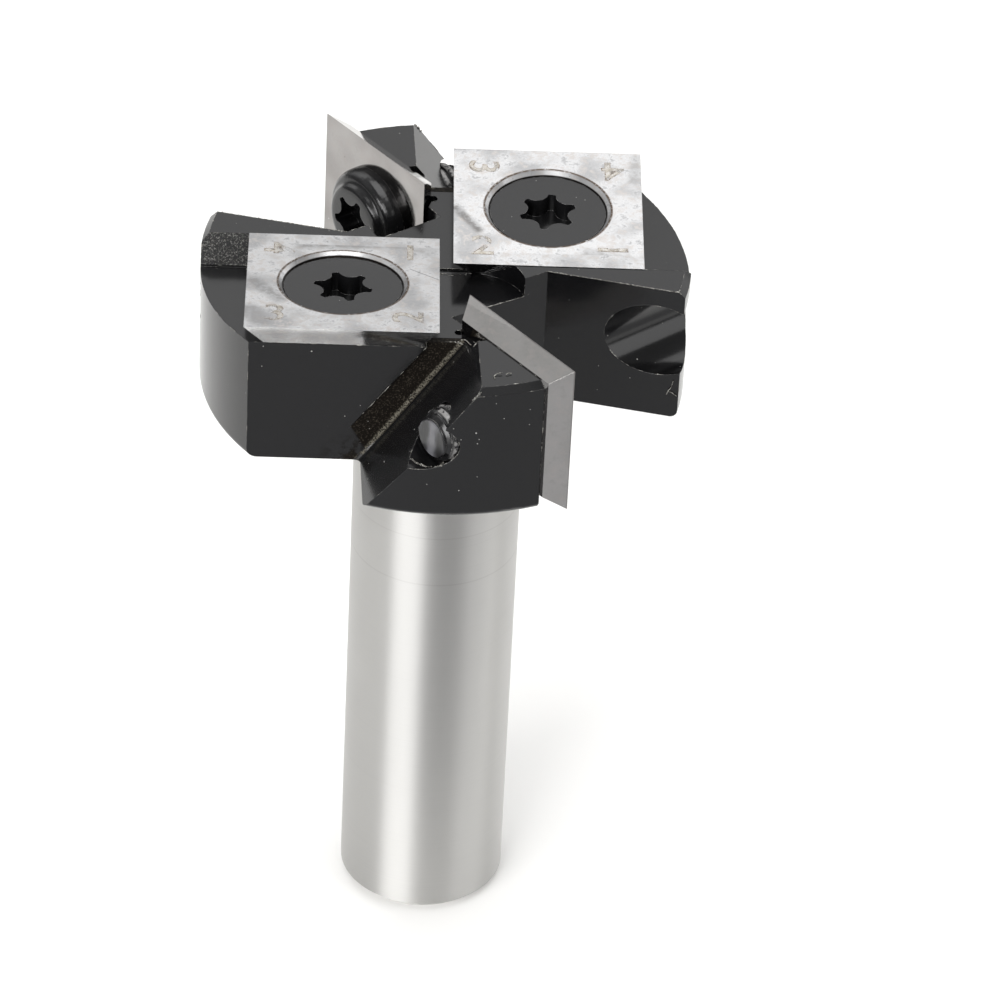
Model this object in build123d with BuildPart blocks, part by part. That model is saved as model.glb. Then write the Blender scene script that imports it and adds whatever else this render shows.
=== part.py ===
from build123d import *
import os
from math import cos, radians, sin, sqrt, tan

# Surfacing router bit: a black steel head with four wings on a plain ground shank.
# Two square inserts lie almost flat in the top of the head and plane the surface.
# Two smaller ones stand upright on the narrower wings and cut the side.
# The tool stands on the free end of its shank, with the cutting end up (+Z).
# Everything occurs twice, half a turn apart. Lengths in mm, angles in degrees.

# Shank
shank_diameter = 12.7
shank_length = 46.8
shank_end_chamfer = 0.8

# Cutting circle, cutting plane and the head inside them
cutting_diameter = 38.1
insert_overhang = 1.05
insert_projection = 1.15
head_foot_gap = 0.2
head_rim_chamfer = 0.5
head_foot_radius = 0.6

# Insert geometry shared by both kinds
clearance_angle = 4.5
bevel_angle = 35.0

# Face inserts
face_insert_side = 14.0
face_insert_thickness = 2.0
face_insert_centre_gap = 0.5

# Side inserts
side_insert_side = 12.0
side_insert_thickness = 1.5
side_insert_turn = 38.2
side_insert_setback = 3.2

# Pocket of each face insert
pocket_end_reach = 5.85
pocket_front_gap = 0.6
pocket_end_radius = 4.35
relief_width = 0.5
relief_depth = 0.15

# Chip space in front of each side insert, and the stop beside the insert's inner edge
gullet_hub_gap = 1.3
gullet_hub_skew = 5.7
gullet_hub_length = 8.3
gullet_back_angle = 38.7
side_stop_height = 0.9
side_stop_gap = 0.25
side_relief_radius = 0.35

# Leaning back of each side wing, with the slot along its foot
wing_crest_width = 0.5
wing_back_lean = 36.4
wing_back_skew = 2.6
corner_slot_depth = 1.05
corner_slot_width = 2.35
corner_slot_skew = 7.8
corner_root_radius = 0.4

# Way for the screwdriver to each side screw, through the edge of the next wing
driver_way_diameter = 6.0
driver_way_rise = 0.35

# Face screws
face_screw_diameter = 5.0
face_screw_length = 7.0
face_screw_head_diameter = 8.65
face_screw_head_sink = 0.375
countersink_angle = 90.0

# Side screws
side_screw_diameter = 4.0
side_screw_length = 8.0
side_screw_head_diameter = 7.8
side_screw_head_height = 2.0
side_screw_head_radius = 1.7

# Six-lobe recess, the same in all four screws
recess_points_diameter = 4.3
recess_flats_diameter = 3.0
recess_flute_radius = 0.9
recess_lobe_radius = 0.2
recess_depth = 1.5

# Turn at which each recess came to rest when its screw was tightened
face_recess_turn = 16.6
side_recess_turn = -17.9
second_face_screw_turn = 34.0

# Ends and fits of the screws
screw_end_chamfer = 0.3
thread_clearance = 0.05
face_hole_clearance = 0.3
side_hole_clearance = 0.2
cone_clearance = 0.02

# Levels and reaches that follow from the sizes above. The head is as high as the
# side inserts need, and its diameter leaves all inserts the same overhang.
head_diameter = cutting_diameter - 2 * insert_overhang
head_height = side_insert_side + head_foot_gap - insert_projection
head_top = shank_length + head_height
cutting_plane = head_top + insert_projection
cutting_radius = cutting_diameter / 2
beyond = 1.5 * cutting_diameter
bevel_slope = tan(radians(bevel_angle))
sink_slope = tan(radians(countersink_angle / 2))
face_hole_radius = face_screw_diameter / 2 + face_hole_clearance
face_tap_radius = face_screw_diameter / 2 + thread_clearance

# Seat of the first face insert: the pocket's floor under the insert's middle, X
# along the insert's inner and outer ends, Y towards its trailing edge. The leading
# edge lies in the cutting plane and its outer corner on the cutting circle.
face_half = face_insert_side / 2
face_foot_half = face_half - face_insert_thickness * bevel_slope
face_outer_reach = face_insert_centre_gap + face_insert_side
face_leading_reach = sqrt(cutting_radius**2 - face_outer_reach**2)
tilt = radians(clearance_angle)
face_level = Plane(
    (
        face_half - face_outer_reach,
        face_half * cos(tilt) - face_leading_reach,
        cutting_plane - face_half * sin(tilt),
    ),
    x_dir=(1, 0, 0),
    z_dir=(0, sin(tilt), cos(tilt)),
)
face_seat = face_level.offset(-face_insert_thickness)
wing_front_y = (face_seat.origin - face_seat.y_dir * face_foot_half).Y

# Seat of the first side insert: the wing's flat face under the insert's middle.
# The top edge lies in the cutting plane and the outer edge on the cutting circle.
side_half = side_insert_side / 2
side_foot_half = side_half - side_insert_thickness * bevel_slope
side_outer_reach = sqrt(cutting_radius**2 - side_insert_setback**2)
side_inner_reach = side_outer_reach - side_insert_side
side_seat_offset = side_insert_setback + side_insert_thickness
side_frame = Plane.XY.rotated((0, 0, side_insert_turn - 90))
side_level = Plane(
    side_frame.from_local_coords(
        (side_outer_reach - side_half, -side_insert_setback, cutting_plane - side_half)
    ),
    x_dir=side_frame.x_dir,
    z_dir=side_frame.y_dir,
)
side_seat = side_level.offset(-side_insert_thickness)

# Leaning back of the first side wing, placed by the width that it leaves at the
# top of the wing. X runs outwards along it and Y up the slope.
lean = radians(wing_back_lean)
skew = radians(wing_back_skew)
crest_run = (side_seat.origin.Y - wing_front_y) / side_seat.x_dir.Y
crest_x = side_seat.origin.X - side_seat.x_dir.X * crest_run
wing_back = Plane(
    (crest_x - wing_crest_width, wing_front_y, head_top),
    x_dir=(sin(skew), -cos(skew), 0),
    z_dir=(-cos(skew) * cos(lean), -sin(skew) * cos(lean), sin(lean)),
)

# Pocket of a face insert: an end mill clears it down to the tilted floor, past the
# middle of the head and over the back of the next side wing. A tapered cutter then
# leans the wall behind the insert, and relieves the corner at its foot.
pocket_width = 2 * face_foot_half + pocket_front_gap
with BuildPart() as face_pocket:
    with BuildSketch(face_seat) as pocket_floor:
        with Locations((pocket_end_reach - face_seat.origin.X, face_foot_half)):
            Rectangle(beyond, pocket_width, align=(Align.MAX, Align.MAX))
        fillet(pocket_floor.vertices().group_by(Axis.X)[-1], pocket_end_radius)
    extrude(amount=head_height)
    wall_end = pocket_end_reach - pocket_end_radius - face_seat.origin.X
    wall_section = Plane(
        face_seat.origin, x_dir=face_seat.y_dir, z_dir=face_seat.x_dir
    ).offset(wall_end)
    with BuildSketch(wall_section) as wall_lean:
        with BuildLine():
            Polyline(
                (0, 0),
                (face_foot_half, 0),
                (face_foot_half + head_height * bevel_slope, head_height),
                (0, head_height),
                close=True,
            )
        make_face()
        with Locations((face_foot_half, 0)):
            Rectangle(relief_width, 2 * relief_depth, align=(Align.MAX, Align.CENTER))
    extrude(amount=-beyond)

# Chip space of a side insert, through the full height of the head: along the
# insert's flat seat to the stop that keeps it from turning, over the stop, up the hub
# and out along the next wing's back. A round relief clears the foot of the stop.
stop_reach = side_inner_reach + side_insert_thickness * bevel_slope - side_stop_gap
stop_top = side_stop_height - side_seat_offset
with BuildPart() as side_gullet:
    with BuildSketch(side_frame.offset(shank_length)) as gullet_plan:
        with BuildLine():
            hub_face = PolarLine(
                (side_inner_reach - gullet_hub_gap, stop_top),
                gullet_hub_length,
                90 - gullet_hub_skew,
            )
            next_wing = PolarLine(hub_face @ 1, beyond, gullet_back_angle)
            Polyline(
                next_wing @ 1,
                (beyond, -side_seat_offset),
                (stop_reach, -side_seat_offset),
                (stop_reach - side_stop_height * bevel_slope, stop_top),
                hub_face @ 0,
            )
        make_face()
        with Locations((stop_reach, -side_seat_offset)):
            Circle(side_relief_radius)
    extrude(amount=head_height)

# Chip space of a face insert, through the full height of the head: all that lies
# in front of the wing's upright face, as far as the back of the side wing.
with BuildPart() as face_gullet:
    with BuildSketch(Plane.XY.offset(shank_length)):
        with Locations((0, wing_front_y)):
            Rectangle(2 * beyond, beyond, align=(Align.CENTER, Align.MAX))
    extrude(amount=head_height)
    split(bisect_by=wing_back, keep=Keep.TOP)
    upright_face = face_gullet.faces().sort_by(Axis.Y)[-1]
    fillet(upright_face.edges().sort_by(Axis.X)[-1], corner_root_radius)

# Slot along the foot of that upright face, cut into it along the leaning one. It is
# deepest at the top and runs out towards the bottom.
slot_lead = radians(corner_slot_skew)
slot_floor = Plane(
    wing_back.origin,
    x_dir=(sin(slot_lead), -cos(slot_lead), 0),
    z_dir=wing_back.z_dir,
)
slot_section = Plane(slot_floor.origin, x_dir=slot_floor.x_dir, z_dir=-slot_floor.y_dir)
with BuildPart() as corner_slot:
    with BuildSketch(slot_section) as slot_profile:
        Rectangle(
            2 * corner_slot_depth, corner_slot_width, align=(Align.CENTER, Align.MIN)
        )
        slot_root = slot_profile.vertices().group_by(Axis.X)[0].sort_by(Axis.Y)[0]
        fillet(slot_root, corner_root_radius)
    extrude(amount=1.5 * head_height, both=True)

# Screwdriver way in front of a side insert, and the tapped hole behind it
with BuildPart() as side_screw_way:
    with BuildSketch(side_level):
        with Locations((0, -driver_way_rise)):
            Circle(driver_way_diameter / 2)
    extrude(amount=beyond)
    with BuildSketch(side_level):
        Circle(side_screw_diameter / 2 + thread_clearance)
    extrude(amount=-beyond)

# Tapped hole of a face screw, square to the tilted seat and out at the underside,
# with its mouth opened to the width of the insert's hole
with BuildPart() as face_screw_hole:
    with BuildSketch(face_seat):
        Circle(face_tap_radius)
    extrude(amount=-head_height)
    with BuildSketch(face_seat):
        Circle(face_hole_radius)
    extrude(amount=face_tap_radius - face_hole_radius, taper=45)

# Body: head and shank turned from one bar, with those shapes cut out of it twice
with BuildPart() as cutter_body:
    with BuildSketch(Plane.XZ) as blank_section:
        Rectangle(shank_diameter / 2, shank_length, align=(Align.MIN, Align.MIN))
        shank_corner = blank_section.vertices().group_by(Axis.Y)[0].sort_by(Axis.X)[-1]
        chamfer(shank_corner, shank_end_chamfer)
        with Locations((0, shank_length)):
            Rectangle(head_diameter / 2, head_height, align=(Align.MIN, Align.MIN))
        top_corner = blank_section.vertices().group_by(Axis.X)[-1].sort_by(Axis.Y)[-1]
        chamfer(top_corner, head_rim_chamfer)
        foot_corner = blank_section.vertices().group_by(Axis.X)[-1].sort_by(Axis.Y)[0]
        fillet(foot_corner, head_foot_radius)
    revolve(axis=Axis.Z)
    with PolarLocations(0, 2):
        add(face_pocket.part, mode=Mode.SUBTRACT)
        add(side_gullet.part, mode=Mode.SUBTRACT)
        add(face_gullet.part, mode=Mode.SUBTRACT)
        add(corner_slot.part, mode=Mode.SUBTRACT)
        add(side_screw_way.part, mode=Mode.SUBTRACT)
        add(face_screw_hole.part, mode=Mode.SUBTRACT)

# Face insert: a square plate with four bevelled flanks and a countersunk hole
with BuildPart() as face_insert_1:
    with BuildSketch(face_seat):
        Rectangle(2 * face_foot_half, 2 * face_foot_half)
    extrude(amount=face_insert_thickness, taper=-bevel_angle)
    with Locations(face_level):
        CounterSinkHole(
            radius=face_hole_radius,
            counter_sink_radius=face_screw_head_diameter / 2 + face_screw_head_sink * sink_slope,
            counter_sink_angle=countersink_angle,
        )

# Side insert: the same form, smaller, with a plain hole
with BuildPart() as side_insert_1:
    with BuildSketch(side_seat):
        Rectangle(2 * side_foot_half, 2 * side_foot_half)
    extrude(amount=side_insert_thickness, taper=-bevel_angle)
    with Locations(side_level):
        Hole(side_screw_diameter / 2 + side_hole_clearance)

# Recess for the key: a circle with six round flutes and rounded lobes between them
with BuildSketch() as six_lobe:
    Circle(recess_points_diameter / 2)
    with PolarLocations(recess_flats_diameter / 2 + recess_flute_radius, 6):
        Circle(recess_flute_radius, mode=Mode.SUBTRACT)
    fillet(six_lobe.vertices(), recess_lobe_radius)

# Face screw: a conical head that fills the insert's countersink to a little below
# the insert's face
face_head_cone = (face_screw_head_diameter - face_screw_diameter) / 2 / sink_slope
face_head_top = face_level.offset(cone_clearance - face_screw_head_sink)
face_screw_section = Plane(
    face_head_top.origin, x_dir=face_head_top.x_dir, z_dir=-face_head_top.y_dir
)
face_screw_axis = Axis(face_head_top.origin, face_head_top.z_dir)
with BuildPart() as face_screw_1:
    with BuildSketch(face_screw_section) as face_screw_profile:
        with BuildLine():
            Polyline(
                (0, 0),
                (face_screw_head_diameter / 2, 0),
                (face_screw_diameter / 2, -face_head_cone),
                (face_screw_diameter / 2, -face_screw_length),
                (0, -face_screw_length),
                close=True,
            )
        make_face()
        shaft_end = face_screw_profile.vertices().group_by(Axis.Y)[0].sort_by(Axis.X)[-1]
        chamfer(shaft_end, screw_end_chamfer)
    revolve(axis=face_screw_axis)
    with BuildSketch(face_head_top):
        add(six_lobe.sketch, rotation=face_recess_turn)
    extrude(amount=-recess_depth, mode=Mode.SUBTRACT)

# Side screw: a round head that bears on the insert's face
side_head_top = side_level.offset(side_screw_head_height)
side_screw_section = Plane(
    side_level.origin, x_dir=side_level.x_dir, z_dir=-side_level.y_dir
)
with BuildPart() as side_screw_1:
    with BuildSketch(side_screw_section) as side_screw_profile:
        with BuildLine():
            Polyline(
                (0, side_screw_head_height),
                (side_screw_head_diameter / 2, side_screw_head_height),
                (side_screw_head_diameter / 2, 0),
                (side_screw_diameter / 2, 0),
                (side_screw_diameter / 2, -side_screw_length),
                (0, -side_screw_length),
                close=True,
            )
        make_face()
        shaft_end = side_screw_profile.vertices().group_by(Axis.Y)[0].sort_by(Axis.X)[-1]
        chamfer(shaft_end, screw_end_chamfer)
        head_edge = side_screw_profile.vertices().group_by(Axis.Y)[-1].sort_by(Axis.X)[-1]
        fillet(head_edge, side_screw_head_radius)
    revolve(axis=Axis(side_level.origin, side_level.z_dir))
    with BuildSketch(side_head_top):
        add(six_lobe.sketch, rotation=side_recess_turn)
    extrude(amount=-recess_depth, mode=Mode.SUBTRACT)

# The second of each kind: the first one turned half way round the tool's axis, with
# the face screw tightened a little further round its own
with BuildPart() as face_insert_2:
    add(face_insert_1.part, rotation=(0, 0, 180))
with BuildPart() as side_insert_2:
    add(side_insert_1.part, rotation=(0, 0, 180))
with BuildPart() as face_screw_2:
    add(
        face_screw_1.part.rotate(face_screw_axis, second_face_screw_turn),
        rotation=(0, 0, 180),
    )
with BuildPart() as side_screw_2:
    add(side_screw_1.part, rotation=(0, 0, 180))

cutter_body.part.label = "cutter_body"
face_insert_1.part.label = "face_insert_1"
face_insert_2.part.label = "face_insert_2"
side_insert_1.part.label = "side_insert_1"
side_insert_2.part.label = "side_insert_2"
face_screw_1.part.label = "face_screw_1"
face_screw_2.part.label = "face_screw_2"
side_screw_1.part.label = "side_screw_1"
side_screw_2.part.label = "side_screw_2"

os.makedirs("parts", exist_ok=True)
export_step(cutter_body.part, "parts/cutter_body.step")
export_step(face_insert_1.part, "parts/face_insert_1.step")
export_step(face_insert_2.part, "parts/face_insert_2.step")
export_step(side_insert_1.part, "parts/side_insert_1.step")
export_step(side_insert_2.part, "parts/side_insert_2.step")
export_step(face_screw_1.part, "parts/face_screw_1.step")
export_step(face_screw_2.part, "parts/face_screw_2.step")
export_step(side_screw_1.part, "parts/side_screw_1.step")
export_step(side_screw_2.part, "parts/side_screw_2.step")
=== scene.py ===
"""Surfacing router bit: four carbide inserts screwed to a blackened steel head on a ground shank.

Lengths are in metres and the tool stands on its shank end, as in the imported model.
"""

import math

import bmesh
import bpy
from mathutils import Matrix, Vector


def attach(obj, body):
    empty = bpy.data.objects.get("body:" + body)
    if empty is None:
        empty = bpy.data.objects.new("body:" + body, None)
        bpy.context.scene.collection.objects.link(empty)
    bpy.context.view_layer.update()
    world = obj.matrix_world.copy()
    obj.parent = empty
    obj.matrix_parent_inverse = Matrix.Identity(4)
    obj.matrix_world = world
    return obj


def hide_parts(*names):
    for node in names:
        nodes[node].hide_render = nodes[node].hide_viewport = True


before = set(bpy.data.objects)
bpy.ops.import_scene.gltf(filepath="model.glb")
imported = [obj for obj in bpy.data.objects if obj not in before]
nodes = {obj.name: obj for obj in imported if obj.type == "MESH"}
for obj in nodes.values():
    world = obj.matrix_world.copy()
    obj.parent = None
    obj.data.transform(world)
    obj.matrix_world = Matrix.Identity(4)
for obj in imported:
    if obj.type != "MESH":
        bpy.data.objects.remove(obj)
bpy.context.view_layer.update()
scene = bpy.context.scene


# The camera stands a little to the left of the tool's front and looks down on it.
# It is turned slightly about its own view, so the shank leans to the right.

camera_elevation = math.radians(35.855)
camera_turn = math.radians(2.075)
camera_roll = math.radians(2.937)
camera_distance = 0.39725
camera_focal_ratio = 5.4242
camera_sensor = 0.036
sight_point = Vector((0.0, 0.0, 0.05844))
sight_right = -0.05321
sight_up = 0.25524

view_direction = Vector((
    math.sin(camera_turn) * math.cos(camera_elevation),
    math.cos(camera_turn) * math.cos(camera_elevation),
    -math.sin(camera_elevation),
))
level_right = Vector((math.cos(camera_turn), -math.sin(camera_turn), 0.0))
level_up = level_right.cross(view_direction)
camera_right = level_right * math.cos(camera_roll) + level_up * math.sin(camera_roll)
camera_up = level_up * math.cos(camera_roll) - level_right * math.sin(camera_roll)
camera_place = sight_point - camera_distance * (
    view_direction
    + camera_right * sight_right / camera_focal_ratio
    + camera_up * sight_up / camera_focal_ratio
)

camera_data = bpy.data.cameras.new("camera")
camera_data.sensor_width = camera_sensor * 1000
camera_data.lens = camera_focal_ratio * camera_sensor * 1000
camera_data.clip_start = 0.01
camera_data.clip_end = 20.0
camera = bpy.data.objects.new("camera", camera_data)
scene.collection.objects.link(camera)
camera_axes = Matrix((camera_right, camera_up, -view_direction)).transposed()
camera.matrix_world = Matrix.Translation(camera_place) @ camera_axes.to_4x4()
scene.camera = camera


# The studio: a white sheet under the tool. In front of the picture, where the black steel mirrors
# it, the sheet is painted grey: painted shade for the dimmer light there. Soft lights stand
# behind the tool, over it and on both sides.

class Wire:
    """An output of a shader node. Sums and products of wires add their Math nodes."""

    def __init__(self, tree, socket):
        self.tree = tree
        self.socket = socket

    def math(self, operation, *others):
        node = self.tree.nodes.new("ShaderNodeMath")
        node.operation = operation
        for entry, value in zip(node.inputs, (self, *others)):
            if isinstance(value, Wire):
                self.tree.links.new(value.socket, entry)
            else:
                entry.default_value = value
        return Wire(self.tree, node.outputs[0])

    def __add__(self, other):
        return self.math("ADD", other)

    def __radd__(self, other):
        return self.math("ADD", other)

    def __sub__(self, other):
        return self.math("SUBTRACT", other)

    def __rsub__(self, other):
        return self.math("MULTIPLY", -1.0).math("ADD", other)

    def __mul__(self, other):
        return self.math("MULTIPLY", other)

    def __rmul__(self, other):
        return self.math("MULTIPLY", other)

    def __truediv__(self, other):
        return self.math("DIVIDE", other)

    def __gt__(self, other):
        return self.math("GREATER_THAN", other)

    def __lt__(self, other):
        return self.math("LESS_THAN", other)

    def ramp(self, low, high):
        """0 below low, 1 above high and smooth between; low may be the greater one."""
        node = self.tree.nodes.new("ShaderNodeMapRange")
        node.interpolation_type = "SMOOTHSTEP"
        self.tree.links.new(self.socket, node.inputs["Value"])
        node.inputs["From Min"].default_value = low
        node.inputs["From Max"].default_value = high
        return Wire(self.tree, node.outputs["Result"])


class Wiring:
    """A node tree that is filled by calls: each call adds one node and gives its output."""

    def node(self, kind, settings, sockets, output=0):
        """A node of that type: its settings first, then values or links for its sockets."""
        made = self.tree.nodes.new(kind)
        for key, value in settings.items():
            setattr(made, key, value)
        for key, value in sockets.items():
            if isinstance(value, Wire):
                self.tree.links.new(value.socket, made.inputs[key])
            else:
                made.inputs[key].default_value = value
        return Wire(self.tree, made.outputs[output])

    def parts(self, vector):
        made = self.tree.nodes.new("ShaderNodeSeparateXYZ")
        self.tree.links.new(vector.socket, made.inputs[0])
        return [Wire(self.tree, output) for output in made.outputs]

    def vector(self, x, y, z):
        return self.node("ShaderNodeCombineXYZ", {}, {0: x, 1: y, 2: z})

    def along(self, vector, direction):
        """How far the vector reaches in that direction."""
        sockets = {0: vector, 1: tuple(direction)}
        return self.node("ShaderNodeVectorMath", {"operation": "DOT_PRODUCT"}, sockets, "Value")

    def scaled(self, vector, factor):
        sockets = {0: vector, "Scale": factor}
        return self.node("ShaderNodeVectorMath", {"operation": "SCALE"}, sockets)

    def noise(self, vector, scale, detail=2.0, roughness=0.5):
        sockets = {"Vector": vector, "Scale": scale, "Detail": detail, "Roughness": roughness}
        return self.node("ShaderNodeTexNoise", {}, sockets)


class Finish(Wiring):
    """A material with one Principled shader, and the wires that its patterns start from."""

    def __init__(self, name, **constants):
        self.material = bpy.data.materials.new(name)
        self.material.use_nodes = True
        self.tree = self.material.node_tree
        self.shader = self.tree.nodes["Principled BSDF"]
        self.set(constants)

    def set(self, constants):
        """Sets sockets of the shader to fixed values; _ stands for a space in their names."""
        for socket, value in constants.items():
            self.shader.inputs[socket.replace("_", " ")].default_value = value

    def over(self, share, **constants):
        """A second Principled shader that shows where the share is 1; feed then feeds it."""
        shown = self.tree.nodes["Material Output"].inputs[0]
        lower = shown.links[0].from_socket
        mix = self.tree.nodes.new("ShaderNodeMixShader")
        self.shader = self.tree.nodes.new("ShaderNodeBsdfPrincipled")
        self.set(constants)
        self.tree.links.new(share.socket, mix.inputs[0])
        self.tree.links.new(lower, mix.inputs[1])
        self.tree.links.new(self.shader.outputs[0], mix.inputs[2])
        self.tree.links.new(mix.outputs[0], shown)

    def place(self):
        """Where the point lies on the tool, in millimetres."""
        point = self.node("ShaderNodeTexCoord", {}, {}, "Object")
        return self.scaled(point, 1000.0)

    def mix(self, share, first, second):
        """The two colours mixed by the share, which may be a wire."""
        sockets = {"Factor": share, 6: first, 7: second}
        return self.node("ShaderNodeMix", {"data_type": "RGBA"}, sockets, 2)

    def bump(self, height, depth, under=None):
        """A normal from a height pattern that stands for that depth in metres."""
        sockets = {"Height": height, "Strength": 1.0, "Distance": depth}
        if under is not None:
            sockets["Normal"] = under
        return self.node("ShaderNodeBump", {}, sockets)

    def specks(self, vector, spacing, radius, share):
        """1 in round specks of that radius in mm, in that share of the cells of a loose grid."""
        cells = {"Vector": vector, "Scale": 1.0 / spacing}
        distance = self.node("ShaderNodeTexVoronoi", {}, cells, "Distance")
        chance = self.parts(self.node("ShaderNodeTexVoronoi", {}, cells, "Color"))[0]
        return distance.ramp(radius / spacing, 0.4 * radius / spacing) * (chance < share)

    def stroke(self, x, y, start, end, width, soft):
        """1 on a straight stroke of that half width between two points, 0 past its soft rim."""
        (ax, ay), (bx, by) = start, end
        length = math.hypot(bx - ax, by - ay)
        ux, uy = (bx - ax) / length, (by - ay) / length
        along = (x - ax) * ux + (y - ay) * uy
        across = ((x - ax) * -uy + (y - ay) * ux).math("ABSOLUTE")
        inside = along.ramp(-soft, 0.0) * along.ramp(length + soft, length)
        return across.ramp(width + soft, width) * inside

    def rounded(self, radius):
        """The normal of the surface with its edges rounded to that radius in metres."""
        return self.node("ShaderNodeBevel", {"samples": 6}, {"Radius": radius})

    def worn(self, rounded):
        """1 on the edges that the rounded normal softens, 0 on the faces between them."""
        normal = self.node("ShaderNodeNewGeometry", {}, {}, "Normal")
        sockets = {0: normal, 1: rounded}
        agree = self.node("ShaderNodeVectorMath", {"operation": "DOT_PRODUCT"}, sockets, "Value")
        return (1.0 - agree).ramp(0.02, 0.16)

    def feed(self, **wires):
        """Links the wires to sockets of the shader and gives the material."""
        for socket, wire in wires.items():
            self.tree.links.new(wire.socket, self.shader.inputs[socket.replace("_", " ")])
        return self.material


sheet_colour = (0.93, 0.925, 0.91, 1.0)
painted_shade_sheet_colour = (0.39, 0.39, 0.395, 1.0)
sheet_half = 3.0
shade_left, shade_right = (-75, -45), (330, 200)
shade_near, shade_far = (-19, -29), (-480, -330)
air_brightness = 0.26

sheet_mesh = bpy.data.meshes.new("white_sheet")
sheet_corners = [(-1, -1), (1, -1), (1, 1), (-1, 1)]
sheet_mesh.from_pydata(
    [(x * sheet_half, y * sheet_half, 0.0) for x, y in sheet_corners], [], [(0, 1, 2, 3)]
)
sheet = bpy.data.objects.new("white_sheet", sheet_mesh)
scene.collection.objects.link(sheet)
sheet_finish = Finish("sheet_with_painted_shade", Roughness=0.9)
x, y, z = sheet_finish.parts(sheet_finish.place())
# painted shade: the sheet's front part, outside the picture, is painted grey for the dimmer light
# there
painted_sheet_shade = x.ramp(*shade_left) * x.ramp(*shade_right) * y.ramp(*shade_near) * y.ramp(*shade_far)
sheet_mesh.materials.append(sheet_finish.feed(
    Base_Color=sheet_finish.mix(painted_sheet_shade, sheet_colour, painted_shade_sheet_colour)
))

scene.view_settings.view_transform = "Standard"
scene.view_settings.look = "None"
world = bpy.data.worlds.new("studio_air")
world.use_nodes = True
world.node_tree.nodes["Background"].inputs["Color"].default_value = (1.0, 1.0, 1.0, 1.0)
world.node_tree.nodes["Background"].inputs["Strength"].default_value = air_brightness
scene.world = world


def soft_light(name, turn, height, distance, size, radiance):
    """A soft box at that turn from the tool's front and that height angle, in degrees."""
    light = bpy.data.lights.new(name, "AREA")
    light.shape = "RECTANGLE"
    light.size, light.size_y = size
    light.energy = radiance * math.pi * size[0] * size[1]
    lamp = bpy.data.objects.new(name, light)
    aim = Vector((0.0, 0.0, 0.05))
    turn, height = math.radians(turn), math.radians(height)
    direction = Vector((
        math.sin(turn) * math.cos(height), -math.cos(turn) * math.cos(height), math.sin(height)
    ))
    lamp.location = aim + direction * distance
    lamp.rotation_euler = direction.to_track_quat("Z", "Y").to_euler()
    scene.collection.objects.link(lamp)


soft_light("back_low_softbox", 180, 22, 1.2, (2.4, 0.34), 0.64)
soft_light("back_middle_softbox", 180, 37, 1.2, (2.4, 0.28), 0.84)
soft_light("back_high_softbox", 180, 52, 1.2, (2.4, 0.36), 1.35)
soft_light("overhead_softbox", 0, 88, 1.0, (0.8, 0.8), 3.0)
soft_light("key_softbox", -33, 17, 0.8, (0.54, 0.42), 8.0)
soft_light("left_softbox", -110, 40, 1.0, (1.2, 0.7), 0.35)
soft_light("front_softbox", 15, 55, 1.2, (1.0, 0.4), 0.35)
soft_light("small_front_softbox", -14, 36, 1.2, (0.40, 0.30), 4.0)
soft_light("right_back_softbox", 128, 14, 1.2, (1.0, 0.5), 0.7)
soft_light("right_softbox", 62, 20, 1.0, (0.8, 0.6), 1.7)


# The cutter body: one steel bar, turned and milled. The head is blackened all over;
# the shank is ground bright to its size.

black_oxide_colour = (0.005, 0.005, 0.0055, 1.0)
lean_oxide_colour = (0.0015, 0.0015, 0.0015, 1.0)
ground_steel_colour = (0.540, 0.535, 0.522, 1.0)
marked_steel_colour = (0.42, 0.41, 0.40, 1.0)
bare_edge_colour = (0.30, 0.29, 0.27, 1.0)
dust_colour = (0.50, 0.50, 0.47, 1.0)
slot_rust_colour = (0.0053, 0.0041, 0.0030, 1.0)
slot_root_colour = (0.12, 0.11, 0.088, 1.0)
slot_speck_colour = (0.040, 0.034, 0.026, 1.0)
torn_metal_colour = (0.22, 0.215, 0.20, 1.0)
shank_top = 46.8
shank_radius = 6.35
wing_front = -11.117
slot_origin = Vector((2.18, wing_front, 57.85))
lean, skew, slot_lead = math.radians(36.4), math.radians(2.6), math.radians(7.8)
slot_out_of_back = Vector((
    -math.cos(skew) * math.cos(lean), -math.sin(skew) * math.cos(lean), math.sin(lean)
))
slot_outward = Vector((math.sin(slot_lead), -math.cos(slot_lead), 0.0))
slot_outward = (slot_outward - slot_outward.dot(slot_out_of_back) * slot_out_of_back).normalized()
slot_depth = 1.05
slot_width = 2.35
slot_inner_end = -9.7
run_out_top, run_out_foot = 50.2, 47.0
torn_wall_y, torn_wall_z = 1.203, 57.418
torn_wall_back, torn_wall_up = 0.772, 0.636
torn_wall_inner_end = 9.0
ring_mark_lines = ((32.0, 0.10), (36.3, 0.08))

body_finish = Finish("blackened_and_ground_steel", IOR=1.5)
place = body_finish.place()
x, y, z = body_finish.parts(place)
axis_distance = (x * x + y * y).math("SQRT")
on_shank = (z < shank_top - 0.02) * (axis_distance < shank_radius + 0.05)

rounded = body_finish.rounded(0.00007)
worn = body_finish.worn(rounded)
grain = body_finish.noise(place, 1.2, 4.0)
fine_grain = body_finish.noise(place, 9.0, 3.0)
wear_noise = body_finish.noise(place, 1.6, 5.0, 0.65)
bare_edges = worn * wear_noise.ramp(0.50, 0.66)

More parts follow.
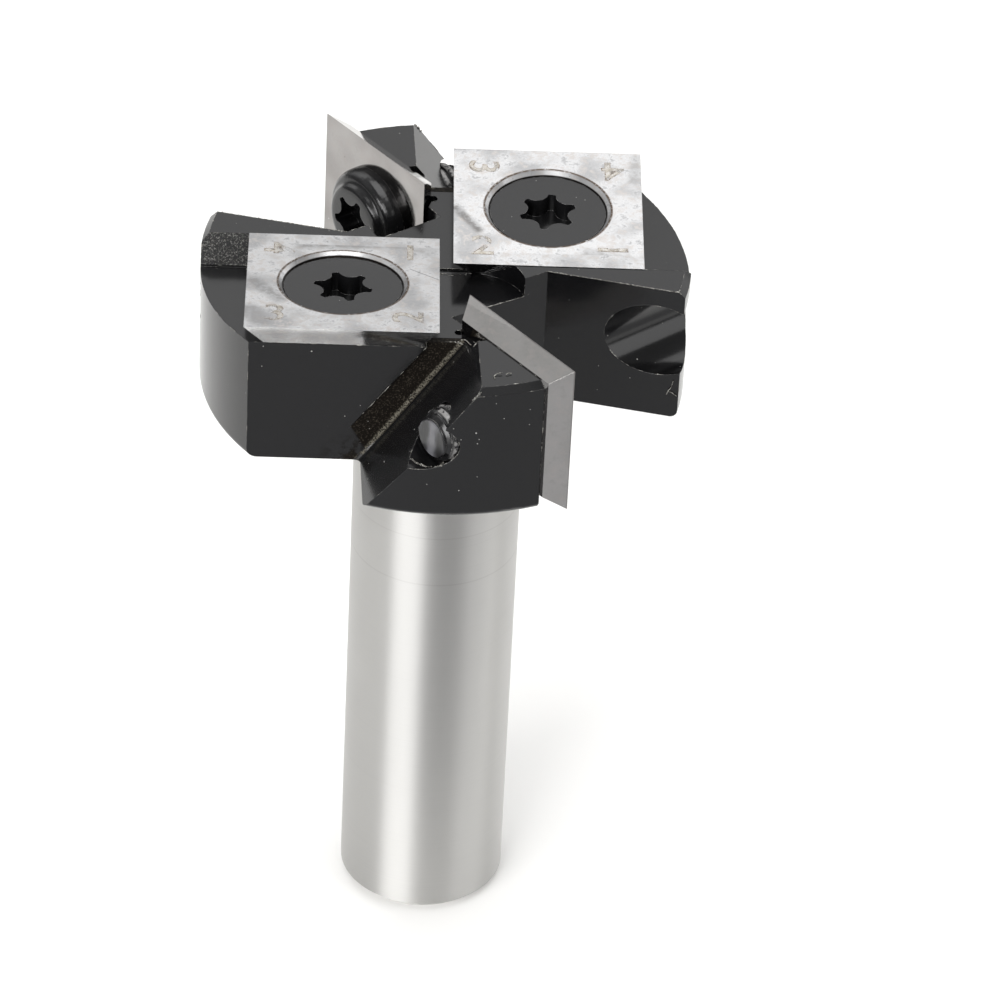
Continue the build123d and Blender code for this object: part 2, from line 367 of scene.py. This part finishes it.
side = y.math("SIGN")
folded = body_finish.vector(x * side * -1.0, y.math("ABSOLUTE") * -1.0, z)
from_slot = body_finish.node(
    "ShaderNodeVectorMath", {"operation": "SUBTRACT"}, {0: folded, 1: tuple(slot_origin)}
)
slot_out = body_finish.along(from_slot, slot_outward)
slot_up = body_finish.along(from_slot, slot_out_of_back)
folded_y = body_finish.parts(folded)[1]
folded_x = body_finish.parts(folded)[0]
in_slot_band = (slot_up > 0.01) * slot_up.ramp(slot_width + 0.06, slot_width - 0.02)
behind_front = (folded_y > wing_front + 0.012) * (folded_y < slot_inner_end)
on_front = (folded_y < wing_front + 0.012) * (folded_y > wing_front - 0.1)
run_out = (
    on_front * z.ramp(run_out_top, run_out_foot)
    * slot_up.ramp(slot_width + 1.0, 0.6) * (slot_up > 0.0)
)
slot_share = in_slot_band * behind_front + run_out * wear_noise.ramp(0.40, 0.60)
slot_share = slot_share.math("MINIMUM", 1.0)
on_lean = (slot_up.math("ABSOLUTE") < 0.012) * (folded_y < slot_inner_end) * (z > shank_top)
root_line = (
    slot_up.ramp(0.02, 0.14) * slot_up.ramp(0.44, 0.28)
    * slot_out.ramp(-slot_depth - 0.3, -slot_depth)
    * slot_out.ramp(-slot_depth + 0.85, -slot_depth + 0.45) * (z > shank_top)
)
root_share = root_line * fine_grain.ramp(0.36, 0.60)
wall_height = (
    (z - torn_wall_z) * torn_wall_up - (y.math("ABSOLUTE") - torn_wall_y) * torn_wall_back
)
torn_wall = (
    wall_height.math("ABSOLUTE").ramp(0.04, 0.02) * (folded_x > torn_wall_inner_end)
    * (folded_y < -0.06) * (folded_y > -1.70)
)
torn_grain = body_finish.noise(place, 8.0, 4.0, 0.75)
torn_sparks = torn_wall * torn_grain.ramp(0.51, 0.63)
dust = body_finish.specks(place, 0.6, 0.05, 0.22) + body_finish.specks(place, 1.1, 0.075, 0.30)
dust = dust.math("MINIMUM", 1.0) * (z > shank_top)

head_colour = body_finish.mix(torn_sparks, black_oxide_colour, torn_metal_colour)
head_colour = body_finish.mix(bare_edges * 0.8, head_colour, bare_edge_colour)
head_colour = body_finish.mix(dust * 0.85, head_colour, dust_colour)
head_height = fine_grain * 0.12 + torn_grain * torn_wall * 14.0 + dust * 3.0
body_finish.feed(
    Base_Color=head_colour, Roughness=0.12 + grain * 0.07 + torn_wall * 0.33,
    Normal=body_finish.bump(head_height, 0.000012, rounded),
)

slot_colour = body_finish.mix(on_lean, slot_rust_colour, lean_oxide_colour)
slot_specks = slot_share * fine_grain.ramp(0.52, 0.70)
slot_colour = body_finish.mix(slot_specks, slot_colour, slot_speck_colour)
slot_colour = body_finish.mix(root_share, slot_colour, slot_root_colour)
slot_colour = body_finish.mix(bare_edges * 0.8, slot_colour, bare_edge_colour)
slot_colour = body_finish.mix(dust * 0.85, slot_colour, dust_colour)
slot_height = fine_grain * (0.1 + slot_share * 1.8 + root_share * 2.4) + dust * 3.0
body_finish.over((slot_share + on_lean).math("MINIMUM", 1.0), IOR=1.5, Specular_IOR_Level=0.07)
body_finish.feed(
    Base_Color=slot_colour, Roughness=0.10 + grain * 0.06 + slot_share * 0.40,
    Normal=body_finish.bump(slot_height, 0.000012, rounded),
)

rings = body_finish.noise(body_finish.vector(x * 0.05, y * 0.05, z * 12.0), 1.0, 3.0, 0.7)
ring_marks = sum(
    (z - height).math("ABSOLUTE").ramp(width, 0.02) for height, width in ring_mark_lines
)
shank_stains = body_finish.noise(place, 0.22, 3.0)
shank_shade = body_finish.mix(
    ring_marks * 0.35 + rings.ramp(0.55, 0.8) * 0.2, ground_steel_colour, marked_steel_colour
)
body_finish.over(
    on_shank, Metallic=1.0, Anisotropic=0.9, Anisotropic_Rotation=0.25, Roughness=0.42
)
body_finish.feed(
    Base_Color=shank_shade, Roughness=0.36 + rings * 0.1 + shank_stains * 0.05,
    Normal=body_finish.bump(rings, 0.0000015),
)
body = nodes["cutter_body"]
body.data.materials.clear()
body.data.materials.append(body_finish.material)


# The head's edges: bare steel shows on them in short thin lines where the oxide is rubbed
# off. Milling and drilling left crumbs on the rims that they cut, and a few curls of swarf.

class Builder(Wiring):
    """A Geometry Nodes tree with named sizes in millimetres, which makes plain meshes."""

    def __init__(self, name, sizes):
        self.tree = bpy.data.node_groups.new(name, "GeometryNodeTree")
        sockets = self.tree.interface
        sockets.new_socket("Start", in_out="INPUT", socket_type="NodeSocketGeometry")
        for size in sizes:
            sockets.new_socket(size, in_out="INPUT", socket_type="NodeSocketFloat")
        sockets.new_socket("Result", in_out="OUTPUT", socket_type="NodeSocketGeometry")
        self.entry = self.tree.nodes.new("NodeGroupInput")
        self.way_out = self.tree.nodes.new("NodeGroupOutput")

    def size(self, name):
        return Wire(self.tree, self.entry.outputs[name])

    def close(self, shape, material):
        """Ends the tree: real faces, with that material on them."""
        real = self.node("GeometryNodeRealizeInstances", {}, {"Geometry": shape})
        done = self.node("GeometryNodeSetMaterial", {}, {"Geometry": real, "Material": material})
        self.tree.links.new(done.socket, self.way_out.inputs[0])

    def make(self, name, start, sizes):
        """The mesh that the tree makes from the start mesh with those sizes."""
        blank = bpy.data.objects.new(name, start)
        scene.collection.objects.link(blank)
        modifier = blank.modifiers.new(name, "NODES")
        modifier.node_group = self.tree
        for item in self.tree.interface.items_tree:
            if item.in_out == "INPUT" and item.name in sizes:
                modifier[item.identifier] = sizes[item.name]
        evaluated = blank.evaluated_get(bpy.context.evaluated_depsgraph_get())
        mesh = bpy.data.meshes.new_from_object(evaluated)
        bpy.data.objects.remove(blank)
        mesh.name = name
        return mesh


def merged_copy(node_name):
    """A copy of that CAD part's mesh with its loose triangles joined into one skin."""
    skin = bmesh.new()
    skin.from_mesh(nodes[node_name].data)
    bmesh.ops.remove_doubles(skin, verts=skin.verts, dist=0.000001)
    mesh = bpy.data.meshes.new(node_name + "_skin")
    skin.to_mesh(mesh)
    skin.free()
    mesh.attributes.remove(mesh.attributes["custom_normal"])
    return mesh


def add_piece(name, mesh):
    """Puts the mesh into the scene as a piece of the tool, attached to the root body."""
    piece = bpy.data.objects.new(name, mesh)
    scene.collection.objects.link(piece)
    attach(piece, "root")
    return piece


def line_mesh(name, lines):
    """Open lines through those points, which are given in millimetres."""
    mesh = bpy.data.meshes.new(name)
    points, edges = [], []
    for line in lines:
        edges += [(len(points) + i, len(points) + i + 1) for i in range(len(line) - 1)]
        points += [tuple(value / 1000 for value in point) for point in line]
    mesh.from_pydata(points, edges, [])
    return mesh


burr_colour = (0.55, 0.54, 0.50, 1.0)
dark_burr_colour = (0.10, 0.095, 0.085, 1.0)

burr_finish = Finish("bare_burr_steel", Metallic=1.0)
place = burr_finish.place()
burr_grain = burr_finish.noise(place, 6.0, 4.0, 0.7)
burr_finish.feed(
    Base_Color=burr_finish.mix(burr_grain.ramp(0.35, 0.65), dark_burr_colour, burr_colour),
    Roughness=0.35 + burr_grain * 0.3,
    Normal=burr_finish.bump(burr_grain, 0.00001),
)

rubbed = Builder(
    "rubbed_edge",
    ("Least angle", "Lowest edge", "Spacing", "Wander", "Thickness", "Kept from"),
)
position = rubbed.node("GeometryNodeInputPosition", {}, {})
millimetres = rubbed.scaled(position, 1000.0)
height = rubbed.parts(millimetres)[2]
fold = rubbed.node("GeometryNodeInputMeshEdgeAngle", {}, {}, "Signed Angle")
chosen = (fold > rubbed.size("Least angle")) * (height > rubbed.size("Lowest edge"))
edges = rubbed.node(
    "GeometryNodeMeshToCurve", {}, {"Mesh": rubbed.size("Start"), "Selection": chosen}
)
edges = rubbed.node("GeometryNodeResampleCurve", {"mode": "LENGTH"}, {
    "Curve": edges, "Length": rubbed.size("Spacing") * 0.001,
})
wander = rubbed.node("ShaderNodeTexNoise", {}, {"Vector": millimetres, "Scale": 3.0}, "Color")
wander = rubbed.node(
    "ShaderNodeVectorMath", {"operation": "SUBTRACT"}, {0: wander, 1: (0.5, 0.5, 0.5)}
)
wander = rubbed.scaled(wander, rubbed.size("Wander") * 0.001)
edges = rubbed.node("GeometryNodeSetPosition", {}, {"Geometry": edges, "Offset": wander})
rubbing = rubbed.noise(millimetres, 0.9, 4.0, 0.75) - rubbed.size("Kept from")
width = (rubbing * 6.0).math("MINIMUM", 1.0).math("MAXIMUM", 0.08)
width = width * rubbed.size("Thickness") * 0.001
ring = rubbed.node("GeometryNodeCurvePrimitiveCircle", {}, {"Resolution": 4, "Radius": 1.0})
strip = rubbed.node("GeometryNodeCurveToMesh", {}, {
    "Curve": edges, "Profile Curve": ring, "Scale": width, "Fill Caps": True,
})
strip = rubbed.node(
    "GeometryNodeDeleteGeometry", {}, {"Geometry": strip, "Selection": rubbing < 0.0}
)
rubbed.close(strip, burr_finish.material)

head_edges = rubbed.make("head_edge_wear", merged_copy("cutter_body"), {
    "Least angle": 0.45, "Lowest edge": 46.9, "Spacing": 0.14, "Wander": 0.06,
    "Thickness": 0.045, "Kept from": 0.51,
})
add_piece("head_edge_wear", head_edges)

stray_swarf = [
    ((3.45, -16.30, 57.87), (3.40, -15.95, 57.90), (3.62, -15.70, 57.96), (3.98, -15.66, 57.99)),
    ((4.25, -15.75, 57.93), (4.45, -15.66, 57.97), (4.66, -15.62, 57.94)),
    ((16.55, -4.38, 48.75), (16.62, -4.50, 49.15), (16.85, -4.58, 49.55), (16.98, -4.52, 50.05)),
    ((16.60, -4.40, 49.10), (16.95, -4.52, 48.98), (17.30, -4.55, 48.72)),
    ((1.10, -10.15, 56.95), (1.38, -10.22, 57.02), (1.62, -10.50, 57.00), (1.80, -10.90, 57.05)),
]
swarf = rubbed.make("stray_swarf", line_mesh("swarf_lines", stray_swarf), {
    "Least angle": -1.0, "Lowest edge": 0.0, "Spacing": 0.07, "Wander": 0.10,
    "Thickness": 0.035, "Kept from": 0.0,
})
add_piece("stray_swarf", swarf)

crumbs = Builder("burr_crumbs", ("Spacing", "Spread", "Crumb size"))
line = crumbs.node("GeometryNodeMeshToCurve", {}, {"Mesh": crumbs.size("Start")})
line = crumbs.node("GeometryNodeResampleCurve", {"mode": "LENGTH"}, {
    "Curve": line, "Length": crumbs.size("Spacing") * 0.001,
})
scatter = crumbs.node(
    "FunctionNodeRandomValue", {"data_type": "FLOAT_VECTOR"},
    {0: (-1.0, -1.0, -1.0), 1: (1.0, 1.0, 1.0), "Seed": 3},
)
line = crumbs.node("GeometryNodeSetPosition", {}, {
    "Geometry": line, "Offset": crumbs.scaled(scatter, crumbs.size("Spread") * 0.001),
})
crumb = crumbs.node("GeometryNodeMeshIcoSphere", {}, {"Radius": 1.0, "Subdivisions": 1})
stretch = crumbs.node(
    "FunctionNodeRandomValue", {"data_type": "FLOAT_VECTOR"},
    {0: (0.3, 0.3, 0.3), 1: (1.6, 1.0, 1.0), "Seed": 5},
)
turn = crumbs.node(
    "FunctionNodeRandomValue", {"data_type": "FLOAT_VECTOR"},
    {0: (0.0, 0.0, 0.0), 1: (6.28, 6.28, 6.28), "Seed": 7},
)
heap = crumbs.node("GeometryNodeInstanceOnPoints", {}, {
    "Points": line, "Instance": crumb, "Rotation": turn,
    "Scale": crumbs.scaled(stretch, crumbs.size("Crumb size") * 0.001),
})
crumbs.close(heap, burr_finish.material)

hole_rim = [
    (-2.30, -16.90, 51.18), (-1.85, -17.20, 51.00), (-1.33, -17.46, 50.94), (-0.76, -17.75, 51.02),
    (-0.25, -17.93, 51.30), (0.05, -18.00, 51.65),
]
wing_nose = [(1.95, -17.80, 57.05), (2.20, -17.84, 57.38), (2.45, -17.70, 57.62)]
slot_mouth = [(0.70, -10.25, 56.82), (1.00, -10.28, 56.78), (1.25, -10.35, 56.72)]
wing_brow = [(7.3, -2.2, 57.85), (11.6, -3.20, 57.85), (16.9, -4.43, 57.82)]


def half_turned(line):
    """The same line on the opposite wing."""
    return [(-x, -y, z) for x, y, z in line]


rim_burrs = crumbs.make(
    "drill_and_slot_burrs",
    line_mesh("burr_lines", [
        line for path in (hole_rim, wing_nose, slot_mouth) for line in (path, half_turned(path))
    ]),
    {"Spacing": 0.05, "Spread": 0.05, "Crumb size": 0.07},
)
add_piece("drill_and_slot_burrs", rim_burrs)
brow_burrs = crumbs.make(
    "wing_brow_burrs", line_mesh("brow_lines", [wing_brow, half_turned(wing_brow)]),
    {"Spacing": 0.06, "Spread": 0.02, "Crumb size": 0.045},
)
add_piece("wing_brow_burrs", brow_burrs)


# The inserts: sintered carbide plates, ground and lapped on every face. Each has four
# edges, and a number by each corner tells which edge is cutting.

carbide_colour = (0.70, 0.70, 0.705, 1.0)
dull_carbide_colour = (0.40, 0.40, 0.405, 1.0)
warm_carbide_colour = (0.62, 0.585, 0.56, 1.0)
side_carbide_colour = (0.48, 0.47, 0.46, 1.0)
side_dull_carbide_colour = (0.38, 0.375, 0.36, 1.0)
side_warm_carbide_colour = (0.56, 0.52, 0.50, 1.0)
rim_stain_colour = (0.10, 0.07, 0.05, 1.0)
# dark of the painted shade in the gap round the screw heads, and of the hairline scratch
shade_and_scratch_colour = (0.01, 0.008, 0.007, 1.0)
face_insert_level = 58.451
face_insert_middle = (7.5, 5.377)
face_insert_tilt = math.atan2(0.0785, 0.9969)
smudge = ((0.7, 5.0), (2.35, 2.5))
hairline = ((-2.667, -3.115), (-0.556, -4.62))
dark_carbide_colour = (0.25, 0.25, 0.25, 1.0)
# colour of the painted shade on the side inserts' large faces
painted_shade_carbide_colour = (0.20, 0.185, 0.18, 1.0)
oil_colour = (0.12, 0.115, 0.11, 1.0)
fleck_colour = (0.95, 0.94, 0.92, 1.0)
sink_radius = 4.72
painted_shade_radius = 4.43
side_insert_out = (0.7859, 0.6184)
side_insert_face = 3.26
handling_marks = (
    ((-10.5, 0.6), (-4.0, 1.1), 0.5, 1.1, 0.75),
    ((-14.0, -5.4), (-12.0, -8.2), 0.15, 0.7, 0.7),
    ((-14.3, -9.5), (-13.2, -11.6), 0.3, 0.9, 0.5),
    ((-3.2, 0.6), (-1.0, -0.4), 0.3, 0.9, 0.4),
    ((0.8, -1.2), (4.4, -1.5), 0.2, 0.8, 0.5),
    ((10.3, -0.4), (13.8, -1.4), 0.5, 0.9, 0.55),
    ((13.9, 9.0), (14.2, 11.9), 0.1, 0.6, 0.4),
)


def carbide_finish(name, fresh, dull, warm, clouding, painted_shade_share):
    """Ground carbide of those colours, its stains where the face inserts have them, painted shade.
    """
    finish = Finish(name, Metallic=1.0)
    place = finish.place()
    x, y, z = finish.parts(place)
    side = x.math("SIGN")
    from_hole_x = x * side - face_insert_middle[0]
    from_hole_y = y * side - face_insert_middle[1]
    hole_distance = (from_hole_x * from_hole_x + from_hole_y * from_hole_y).math("SQRT")
    near_top = z.ramp(57.3, 57.6)
    from_middle = y.math("ABSOLUTE") - face_insert_middle[1]
    above_top = z - face_insert_level - from_middle * math.tan(face_insert_tilt)
    on_top = above_top.ramp(-0.03, -0.01)
    rim_stain = near_top * hole_distance.ramp(sink_radius + 0.14, sink_radius + 0.04)
    rim_stain = rim_stain * hole_distance.ramp(sink_radius - 0.10, sink_radius - 0.02)
    # painted shade: the countersink is painted dark round the screw head, in the gap between them
    painted_gap_shade = hole_distance.ramp(painted_shade_radius + 0.03, painted_shade_radius - 0.03) * near_top
    in_sink = hole_distance.ramp(sink_radius, sink_radius - 0.06)
    rounded = finish.rounded(0.00003)
    clouds = finish.noise(place, 0.35, 3.0, 0.6)
    blotches = finish.noise(place, 1.4, 6.0, 0.7)
    grain = finish.noise(place, 4.0, 5.0, 0.7)
    lapping = finish.noise(finish.vector(x * 9.0, y * 1.1, z * 9.0), 1.0, 3.0)
    pits = finish.specks(place, 0.7, 0.055, 0.10)
    flecks = finish.specks(place, 0.8, 0.05, 0.06)
    carbide = finish.mix(clouds.ramp(0.42, 0.64) * clouding, fresh, dull)
    carbide = finish.mix(blotches.ramp(0.48, 0.66) * clouding, carbide, warm)
    carbide = finish.mix(blotches.ramp(0.47, 0.33) * clouding, carbide, dull)
    outward = (x * side_insert_out[0] + y * side_insert_out[1]).math("ABSOLUTE")
    # painted shade: the side inserts' large faces are darkened in clouds for the shade and dark
    # reflections on them
    painted_face_shade = (outward < side_insert_face) * (0.4 + clouds * 1.2) * painted_shade_share
    carbide = finish.mix(painted_face_shade.math("MINIMUM", 1.0), carbide, painted_shade_carbide_colour)
    carbide = finish.mix(rim_stain * grain.ramp(0.30, 0.5), carbide, rim_stain_colour)
    carbide = finish.mix(painted_gap_shade, carbide, shade_and_scratch_colour)
    rubbed_oil = finish.stroke(x, y, *smudge, 0.05, 0.55) * on_top
    scratch = finish.stroke(x, y, *hairline, 0.015, 0.03) * on_top
    for start, end, width, soft, share in handling_marks:
        mark = finish.stroke(x, y, start, end, width, soft) * on_top * blotches.ramp(0.28, 0.58)
        carbide = finish.mix(mark * share, carbide, dark_carbide_colour)
    carbide = finish.mix(rubbed_oil * blotches.ramp(0.25, 0.60) * 0.8, carbide, oil_colour)
    carbide = finish.mix(scratch * 0.7, carbide, shade_and_scratch_colour)
    carbide = finish.mix(pits * 0.75, carbide, rim_stain_colour)
    carbide = finish.mix(flecks * 0.8, carbide, fleck_colour)
    finish.feed(
        Base_Color=carbide,
        Roughness=0.06 + on_top * (0.09 + clouds * 0.08) + grain * 0.05 + in_sink * 0.22,
        Normal=finish.bump(lapping * 0.5 + blotches * 0.8 + pits * -2.0, 0.0000012, rounded),
    )
    return finish.material


# the last number is the share of painted shade on the side inserts' large faces
face_carbide = carbide_finish(
    "ground_carbide", carbide_colour, dull_carbide_colour, warm_carbide_colour, 0.8, 0.0
)
side_carbide = carbide_finish(
    "side_carbide_with_painted_shade", side_carbide_colour, side_dull_carbide_colour, side_warm_carbide_colour,
    0.4, 0.55
)
for name, carbide in (
    ("face_insert_1", face_carbide), ("face_insert_2", face_carbide),
    ("side_insert_1", side_carbide), ("side_insert_2", side_carbide),
):
    nodes[name].data.materials.clear()
    nodes[name].data.materials.append(carbide)

number_height = 2.2
number_reach = 4.85
number_lift = 0.004
number_rim = 0.05
number_core = -0.02
number_stretch = 1.12
number_rim_colours = (0.17, 0.12, 0.085, 1.0), (0.50, 0.47, 0.43, 1.0)
number_core_colours = (0.46, 0.42, 0.36, 1.0), (0.64, 0.62, 0.59, 1.0)
first_numbers = (3, 2, 1, 4)
second_numbers = (2, 1, 4, 3)

rim_finish = Finish("etched_number_rim", Metallic=0.6)
rim_grain = rim_finish.noise(rim_finish.place(), 3.0, 4.0, 0.7)
rim_finish.feed(
    Base_Color=rim_finish.mix(rim_grain.ramp(0.35, 0.6), *number_rim_colours),
    Roughness=0.30 + rim_grain * 0.3,
    Alpha=rim_finish.noise(rim_finish.place(), 0.9, 4.0, 0.6).ramp(0.36, 0.52),
)
core_finish = Finish("etched_number_core", Metallic=0.9)
core_grain = core_finish.noise(core_finish.place(), 2.5, 5.0, 0.7)
core_finish.feed(
    Base_Color=core_finish.mix(core_grain.ramp(0.35, 0.65), *number_core_colours),
    Roughness=0.16 + core_grain * 0.2,
    Alpha=core_finish.noise(core_finish.place(), 0.9, 4.0, 0.6).ramp(0.36, 0.52),
    Normal=core_finish.bump(core_grain, 0.000006),
)


def etched_number(number, swelling, lift):
    """The flat shape of one etched number, as tall as the mark and centred on its middle."""
    text = bpy.data.curves.new("number", "FONT")
    text.body = str(number)
    text.align_x = "CENTER"
    text.align_y = "CENTER"
    text.size = number_height / 1000 / 0.7
    text.offset = swelling / 1000
    letter = bpy.data.objects.new("number", text)
    scene.collection.objects.link(letter)
    evaluated = letter.evaluated_get(bpy.context.evaluated_depsgraph_get())
    mesh = bpy.data.meshes.new_from_object(evaluated)
    bpy.data.objects.remove(letter)
    mesh.transform(Matrix.Translation((0.0, 0.0, lift / 1000)))
    mesh.transform(Matrix.Diagonal((number_stretch, 1.0, 1.0, 1.0)))
    return mesh


for insert, numbers in ((1, first_numbers), (2, second_numbers)):
    marks = bmesh.new()
    facing = -1 if insert == 1 else 1
    middle_x, middle_y = face_insert_middle
    middle = Vector((facing * middle_x, facing * middle_y, face_insert_level)) / 1000
    lay = Matrix.Translation(middle) @ Matrix.Rotation(facing * face_insert_tilt, 4, "X")
    for quarter, number in enumerate(numbers):
        spin = Matrix.Rotation(quarter * math.pi / 2, 4, "Z")
        reach = Matrix.Translation((-number_reach / 1000, -number_reach / 1000, 0.0))
        for layer, swelling in enumerate((number_rim, number_core)):
            mark = etched_number(number, swelling, (layer + 1) * number_lift)
            mark.transform(lay @ spin @ reach)
            start = len(marks.faces)
            marks.from_mesh(mark)
            marks.faces.ensure_lookup_table()
            for face in marks.faces[start:]:
                face.material_index = layer
    mesh = bpy.data.meshes.new("edge_numbers")
    marks.to_mesh(mesh)
    marks.free()
    mesh.materials.append(rim_finish.material)
    mesh.materials.append(core_finish.material)
    add_piece(f"edge_numbers_{insert}", mesh)


# The screws: hardened steel, browned, with a six-lobe recess for the key. Their threads
# are rolled. A side screw's round head has a groove between its crown and its flange.

screw_colour = (0.006, 0.006, 0.0065, 1.0)
# bare steel on worn edges, and the colour of the painted glints on the thread crests
bare_steel_and_glint_colour = (0.22, 0.215, 0.21, 1.0)
screw_tip_colour = (0.11, 0.11, 0.12, 1.0)
side_screw_reach = 11.2
side_screw_middle = 12.779
thread_depth = 0.36
thread_turn_sides = 32
tip_share = 0.82
side_screw_level = 53.0
side_screw_radius = 2.0
recess_rim_radius = 2.3
groove_radius, groove_half_width, groove_depth = 3.25, 0.31, 0.22
groove_starts, groove_ends = 2.4, 3.85

screw_finish = Finish("browned_screw_steel", IOR=1.5)
place = screw_finish.place()
x, y, z = screw_finish.parts(place)
rounded = screw_finish.rounded(0.00006)
worn = screw_finish.worn(rounded)
grain = screw_finish.noise(place, 3.0, 4.0)
strokes = screw_finish.noise(screw_finish.vector(x * 0.7, y * 0.7, z * 0.3), 1.0, 3.0, 0.5)
wear_noise = screw_finish.noise(place, 2.2, 4.0)
screw_way = (x * side_insert_out[0] + y * side_insert_out[1]).math("ABSOLUTE")
on_tip = screw_way.ramp(side_screw_reach - 0.10, side_screw_reach - 0.04) * (z < 56.0)
across = (x * side_insert_out[1] - y * side_insert_out[0]).math("ABSOLUTE") - side_screw_middle
above = z - side_screw_level
from_axis = (across * across + above * above).math("SQRT")
# painted highlight: the thread's crests are lightened in patches for the glints of light on them
on_crest = from_axis.ramp(side_screw_radius - 0.20, side_screw_radius - 0.08)
on_crest = on_crest * (from_axis < side_screw_radius + 0.08) * (screw_way > 5.0)
dust = screw_finish.specks(place, 0.6, 0.045, 0.15)
bare_share = worn * wear_noise.ramp(0.45, 0.62)
painted_crest_glint = on_crest * wear_noise.ramp(0.42, 0.56)
screw_shade = screw_finish.mix(bare_share, screw_colour, bare_steel_and_glint_colour)
screw_shade = screw_finish.mix(on_tip * strokes.ramp(0.36, 0.64), screw_shade, screw_tip_colour)
screw_shade = screw_finish.mix(painted_crest_glint, screw_shade, bare_steel_and_glint_colour)
screw_shade = screw_finish.mix(dust * 0.8, screw_shade, dust_colour)
screw_finish.feed(
    Base_Color=screw_shade, Roughness=0.17 + grain * 0.08 + on_tip * 0.10,
    Normal=screw_finish.bump(grain + strokes * on_tip * 20.0, 0.000004, rounded),
)

thread = Builder("rolled_thread", ("Radius", "Depth", "Pitch", "Length"))
turns = thread.size("Length") / thread.size("Pitch")
core_line = thread.node("GeometryNodeCurveSpiral", {}, {
    "Resolution": thread_turn_sides, "Rotations": turns,
    "Start Radius": (thread.size("Radius") - thread.size("Depth")) * 0.001,
    "End Radius": (thread.size("Radius") - thread.size("Depth")) * 0.001,
    "Height": thread.size("Length") * 0.001,
})
tooth = thread.node("GeometryNodeCurvePrimitiveCircle", {}, {
    "Resolution": 6, "Radius": thread.size("Depth") * 0.001,
})
ridge = thread.node("GeometryNodeCurveToMesh", {}, {
    "Curve": core_line, "Profile Curve": tooth, "Fill Caps": True,
})
thread.close(ridge, screw_finish.material)


def threaded_screw(node_name, origin, outward, radius, length, pitch):
    """The screw with its shank cut down to the thread's core and the rolled thread on it.

    The origin lies on the screw's axis where the thread's inner end is.
    """
    turn = outward.to_track_quat("Z", "Y").to_matrix().to_4x4()
    lay = Matrix.Translation(Vector(origin) / 1000) @ turn
    unlay = lay.inverted()
    skin = bmesh.new()
    skin.from_mesh(merged_copy(node_name))
    for vertex in skin.verts:
        local = unlay @ vertex.co
        spread = math.hypot(local.x, local.y) * 1000
        if abs(spread - radius) < 0.02 and local.z * 1000 < length + 0.6:
            shrink = (radius - thread_depth * 0.9) / spread
            vertex.co = lay @ Vector((local.x * shrink, local.y * shrink, local.z))
    bmesh.ops.bisect_plane(
        skin, geom=skin.verts[:] + skin.edges[:] + skin.faces[:], dist=1e-7,
        plane_co=lay.translation, plane_no=outward,
    )
    for vertex in skin.verts:
        local = unlay @ vertex.co
        if local.z * 1000 < -0.1:
            vertex.co = lay @ Vector((local.x * tip_share, local.y * tip_share, local.z))
    ridge = thread.make("thread", bpy.data.meshes.new("nothing"), {
        "Radius": radius - 0.02, "Depth": thread_depth, "Pitch": pitch, "Length": length,
    })
    ridge.transform(lay)
    skin.from_mesh(ridge)
    return skin, lay


def cut_head_groove(skin, lay, head_foot):
    """Presses the groove round the crown into the head, after dividing its faces finely."""
    unlay = lay.inverted()

    def on_crown(face):
        middle = unlay @ face.calc_center_median()
        spread = math.hypot(middle.x, middle.y) * 1000
        return middle.z * 1000 > head_foot + 0.15 and spread > recess_rim_radius

    crown = [face for face in skin.faces if on_crown(face)]
    edges = {edge for face in crown for edge in face.edges}
    bmesh.ops.subdivide_edges(skin, edges=list(edges), cuts=4, use_grid_fill=True)
    for vertex in skin.verts:
        local = unlay @ vertex.co
        spread = math.hypot(local.x, local.y) * 1000
        if local.z * 1000 < head_foot + 0.1 or not groove_starts < spread < groove_ends:
            continue
        depth = groove_depth * math.exp(-((spread - groove_radius) / groove_half_width) ** 2)
        normal = Vector((local.x, local.y, 0.0)).normalized() * max(spread - 2.2, 0.1)
        normal.z = max(local.z * 1000 - head_foot - 0.3, 0.1)
        vertex.co = lay @ (local - normal.normalized() * depth / 1000)


# Of both kinds of screw: how deep the tip lies under the seat, the radius, the length and
# the pitch of the thread, and whether the head has the groove.
face_screw = (7.35, 2.5, 5.4, 0.8, False)
side_screw = (8.0, side_screw_radius, 7.7, 0.7, True)
screws = (
    ("face_screw_1", (-7.5, -5.377, face_insert_level), (0.0, 0.0785, 0.9969), face_screw),
    ("face_screw_2", (7.5, 5.377, face_insert_level), (0.0, -0.0785, 0.9969), face_screw),
    ("side_screw_1", (5.388, -12.022, side_screw_level), (0.7859, 0.6184, 0.0), side_screw),
    ("side_screw_2", (-5.388, 12.022, side_screw_level), (-0.7859, -0.6184, 0.0), side_screw),
)
for name, seat, outward, kind in screws:
    depth, radius, length, pitch, has_groove = kind
    outward = Vector(outward).normalized()
    foot = Vector(seat) - outward * (depth - 0.55)
    skin, lay = threaded_screw(name, foot, outward, radius, length - 0.75, pitch)
    if has_groove:
        cut_head_groove(skin, lay, depth - 0.55)
    mesh = bpy.data.meshes.new(name + "_threaded")
    skin.to_mesh(mesh)
    skin.free()
    mesh.shade_smooth()
    mesh.set_sharp_from_angle(angle=math.radians(32))
    mesh.materials.clear()
    mesh.materials.append(screw_finish.material)
    piece = add_piece(name + "_threaded", mesh)
    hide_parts(name)
